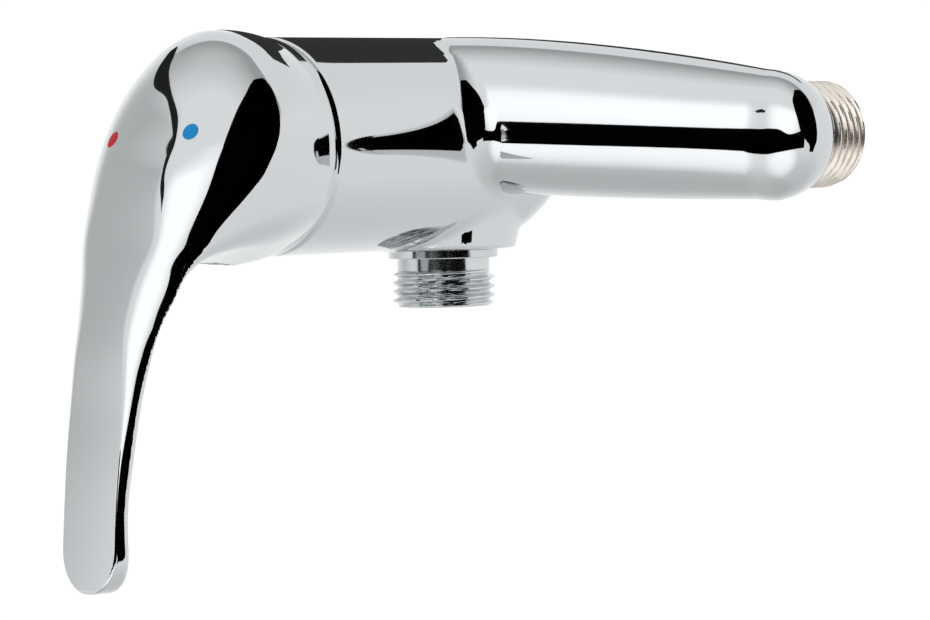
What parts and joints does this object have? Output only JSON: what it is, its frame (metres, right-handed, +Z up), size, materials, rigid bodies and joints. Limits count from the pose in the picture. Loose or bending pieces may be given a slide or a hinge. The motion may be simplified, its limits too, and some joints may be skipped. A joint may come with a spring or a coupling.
{
  "type": "single lever wall shower mixer",
  "caption": "Chromed wall-mounted single-lever shower mixer with swept arms, domed hood and long hanging paddle lever, hose outlet below",
  "frame": {"origin": "midway between the two inlet nipples, on the plane of their open ends", "axes": "+X from the left inlet to the right inlet seen from the front, +Y into the wall, +Z up; the lever points to -Y"},
  "size_m": [0.1752, 0.1288, 0.1066],
  "materials": {
    "polished_chrome": "mirror polished chrome plate",
    "nickel_brass": "turned brass with a thin nickel coat",
    "bare_brass": "turned brass",
    "spring_steel": "bright stainless steel",
    "black_rubber": "satin moulded rubber",
    "white_plastic": "satin moulded plastic",
    "grey_plastic": "satin moulded plastic",
    "white_ceramic": "lapped alumina ceramic",
    "red_enamel": "gloss enamel",
    "blue_enamel": "gloss enamel"
  },
  "bodies": {
    "fixed": {"mixer_body": "polished_chrome", "inlet_nipple_left": "nickel_brass", "inlet_nipple_right": "nickel_brass", "inlet_seal_left": "black_rubber", "inlet_seal_right": "black_rubber", "outlet_nipple": "polished_chrome", "outlet_seal": "black_rubber", "check_valve_housing": "white_plastic", "check_valve_spring": "spring_steel", "cartridge_base": "grey_plastic", "base_seals": "black_rubber", "fixed_ceramic_disc": "white_ceramic", "cartridge_housing": "white_plastic", "cartridge_nut": "bare_brass", "cover_ring": "polished_chrome", "cover_ring_seal": "black_rubber"},
    "turning_guide": {"spindle_guide": "grey_plastic", "spindle_pin": "spring_steel"},
    "lever": {"lever_handle": "polished_chrome", "lever_spindle": "bare_brass", "lever_grub_screw": "spring_steel", "hot_mark": "red_enamel", "cold_mark": "blue_enamel"},
    "disc_slide": {"moving_ceramic_disc": "white_ceramic", "disc_carrier": "grey_plastic"},
    "valve_poppet": {"check_valve_poppet": "grey_plastic"}
  },
  "joints": [
    {"name": "lever_turn", "type": "hinge", "parent": "fixed", "child": "turning_guide", "pos_m": [0, -0.069, 0], "axis": [0, 1, 0], "range_deg": [-50, 50]},
    {"name": "lever_lift", "type": "hinge", "parent": "turning_guide", "child": "lever", "pos_m": [0, -0.069, 0], "axis": [-1, 0, 0], "range_deg": [0, 20]},
    {"name": "disc_travel", "type": "slide", "parent": "turning_guide", "child": "disc_slide", "axis": [0, 0, -1], "range_m": [0, 0.0027]},
    {"name": "poppet_travel", "type": "slide", "parent": "fixed", "child": "valve_poppet", "axis": [0, 0, -1], "range_m": [0, 0.0024], "stiffness_N_per_m": 60, "deforming": ["check_valve_spring"]}
  ],
  "couplings": [
    {"joint": "disc_travel", "follows": "lever_lift", "m_per_rad": 0.00755}
  ]
}
